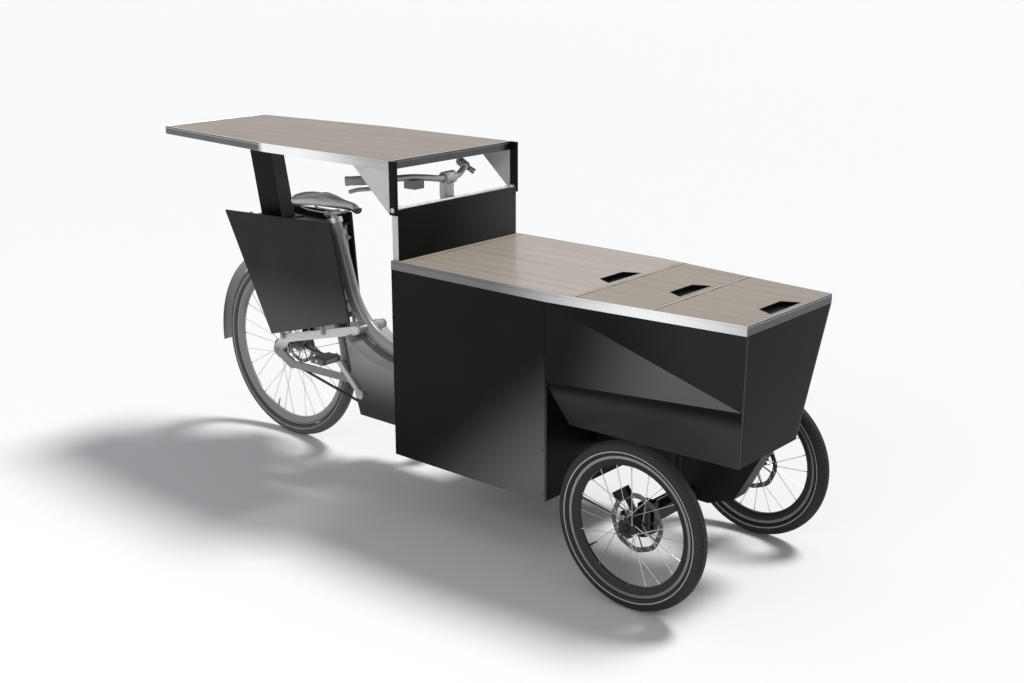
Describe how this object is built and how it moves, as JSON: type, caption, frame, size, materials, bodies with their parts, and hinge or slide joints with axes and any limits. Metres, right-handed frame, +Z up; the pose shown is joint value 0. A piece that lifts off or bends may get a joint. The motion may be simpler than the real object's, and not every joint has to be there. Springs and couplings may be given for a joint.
{
  "type": "cargo tricycle",
  "caption": "Front-loading cargo tricycle with a tapered black box under a wooden lidded counter, a folding bar table on arms, rear carrier panels, crank drive and linked front-wheel steering.",
  "frame": {"origin": "on the ground, under the axis on which the table turns, midway between the sides", "axes": "+X forwards, +Y to the rider's left, +Z up"},
  "size_m": [2.522, 0.74, 1.1879],
  "materials": {
    "band": "satin",
    "wood": "gloss",
    "black_metal": "satin",
    "well": "satin",
    "panel": "satin",
    "steel": "satin",
    "post": "satin",
    "carrier": "satin",
    "rack": "satin",
    "frame": "satin",
    "mudguard": "satin",
    "alloy": "satin",
    "chassis": "satin",
    "gusset": "satin",
    "rubber": "matte",
    "plastic": "matte",
    "tyre": "matte",
    "saddle": "satin"
  },
  "bodies": {
    "chassis": {"counter_band": "band", "counter_strips": "wood", "lid_hinges": "steel", "side_panels": "panel", "cross_panels": "panel", "floor_panels": "panel", "nose_sides": "panel", "nose_front": "panel", "cold_wells": "well", "posts": "post", "back_panel": "panel", "mast": "black_metal", "carrier": "carrier", "rear_rack": "rack", "main_frame": "frame", "frame_covers": "frame", "rear_fork": "frame", "mudguard": "mudguard", "seat_clamp": "alloy", "steering_tube": "frame", "keel": "chassis", "drive_belt": "rubber"},
    "table": {"table_top": "wood", "table_band": "band", "table_underside": "panel", "table_arms": "black_metal", "gussets": "gusset", "hinge_shaft": "steel"},
    "rear_lid": {"lid_rear": "wood", "lid_rear_fittings": "black_metal"},
    "middle_lid": {"lid_middle": "wood", "lid_middle_fittings": "black_metal"},
    "front_lid": {"lid_front": "wood", "lid_front_fittings": "black_metal"},
    "steering": {"steering_column": "alloy", "stem": "alloy", "handlebar": "alloy", "grips": "rubber", "bar_controls": "plastic"},
    "right_lever": {"brake_lever_right": "alloy"},
    "left_lever": {"brake_lever_left": "alloy"},
    "right_knuckle": {"knuckle_right": "chassis"},
    "left_knuckle": {"knuckle_left": "chassis"},
    "tie": {"tie_rod": "steel"},
    "link": {"drag_link": "steel"},
    "right_wheel": {"front_right_wheel": "alloy", "front_right_spokes": "steel", "front_right_tyre": "tyre"},
    "left_wheel": {"front_left_wheel": "alloy", "front_left_spokes": "steel", "front_left_tyre": "tyre"},
    "back_wheel": {"rear_wheel": "alloy", "rear_spokes": "steel", "rear_tyre": "tyre"},
    "sprocket": {"rear_sprocket": "steel"},
    "crank": {"crankset": "alloy"},
    "right_pedal": {"pedal_right": "plastic"},
    "left_pedal": {"pedal_left": "plastic"},
    "seat": {"seatpost": "alloy", "saddle": "saddle"}
  },
  "joints": [
    {"name": "table_flip", "type": "hinge", "parent": "chassis", "child": "table", "pos_m": [0, 0, 1.033], "axis": [0, 1, 0], "range_deg": [0, 180]},
    {"name": "rear_lid_hinge", "type": "hinge", "parent": "chassis", "child": "rear_lid", "pos_m": [0.0373, 0, 0.8674], "axis": [0, 1, 0], "range_deg": [-85, 0]},
    {"name": "middle_lid_hinge", "type": "hinge", "parent": "chassis", "child": "middle_lid", "pos_m": [0.7208, 0, 0.8674], "axis": [0, 1, 0], "range_deg": [-85, 0]},
    {"name": "front_lid_hinge", "type": "hinge", "parent": "chassis", "child": "front_lid", "pos_m": [0.9748, 0, 0.8674], "axis": [0, 1, 0], "range_deg": [-85, 0]},
    {"name": "steer", "type": "hinge", "parent": "chassis", "child": "steering", "pos_m": [-0.045, 0, 0.8], "axis": [0, 0, 1], "range_deg": [-12, 12]},
    {"name": "right_lever_pull", "type": "hinge", "parent": "steering", "child": "right_lever", "pos_m": [-0.12184, -0.2156, 1.08392], "axis": [-0.3437, 0.4606, -0.8184], "range_deg": [0, 12], "stiffness_Nm_per_rad": 2},
    {"name": "left_lever_pull", "type": "hinge", "parent": "steering", "child": "left_lever", "pos_m": [-0.12184, 0.2156, 1.08392], "axis": [0.3437, 0.4606, 0.8184], "range_deg": [0, 12], "stiffness_Nm_per_rad": 2},
    {"name": "right_knuckle_turn", "type": "hinge", "parent": "chassis", "child": "right_knuckle", "pos_m": [0.981, -0.285, 0.253], "axis": [0, 0, 1], "range_deg": [-19.2, 19.2]},
    {"name": "left_knuckle_turn", "type": "hinge", "parent": "chassis", "child": "left_knuckle", "pos_m": [0.981, 0.285, 0.253], "axis": [0, 0, 1], "range_deg": [-19.2, 19.2]},
    {"name": "tie_rod_turn", "type": "hinge", "parent": "left_knuckle", "child": "tie", "pos_m": [0.911, 0.285, 0.2413], "axis": [0, 0, 1], "range_deg": [-19.2, 19.2]},
    {"name": "link_turn", "type": "hinge", "parent": "steering", "child": "link", "pos_m": [-0.125, 0.08, 0.19], "axis": [0, 0, 1], "range_deg": [-12, 12]},
    {"name": "right_wheel_spin", "type": "hinge", "parent": "right_knuckle", "child": "right_wheel", "pos_m": [0.981, -0.347, 0.253], "axis": [0, 1, 0], "continuous": true},
    {"name": "left_wheel_spin", "type": "hinge", "parent": "left_knuckle", "child": "left_wheel", "pos_m": [0.981, 0.347, 0.253], "axis": [0, 1, 0], "continuous": true},
    {"name": "rear_wheel_spin", "type": "hinge", "parent": "chassis", "child": "back_wheel", "pos_m": [-0.877, 0, 0.354], "axis": [0, 1, 0], "continuous": true},
    {"name": "crank_spin", "type": "hinge", "parent": "chassis", "child": "crank", "pos_m": [-0.38, 0, 0.29], "axis": [0, 1, 0], "continuous": true},
    {"name": "sprocket_spin", "type": "hinge", "parent": "chassis", "child": "sprocket", "pos_m": [-0.877, 0, 0.354], "axis": [0, 1, 0], "continuous": true},
    {"name": "right_pedal_spin", "type": "hinge", "parent": "crank", "child": "right_pedal", "pos_m": [-0.50486, -0.15, 0.40974], "axis": [0, 1, 0], "continuous": true},
    {"name": "left_pedal_spin", "type": "hinge", "parent": "crank", "child": "left_pedal", "pos_m": [-0.25514, 0.15, 0.17026], "axis": [0, 1, 0], "continuous": true},
    {"name": "seat_height", "type": "slide", "parent": "chassis", "child": "seat", "axis": [-0.3156, 0, 0.9489], "range_m": [0, 0.1]}
  ],
  "couplings": [
    {"joint": "right_knuckle_turn", "follows": "steer", "ratio": 1.6},
    {"joint": "left_knuckle_turn", "follows": "steer", "ratio": 1.6},
    {"joint": "tie_rod_turn", "follows": "steer", "ratio": -1.6},
    {"joint": "link_turn", "follows": "steer", "ratio": -1},
    {"joint": "sprocket_spin", "follows": "crank_spin", "ratio": 2}
  ]
}
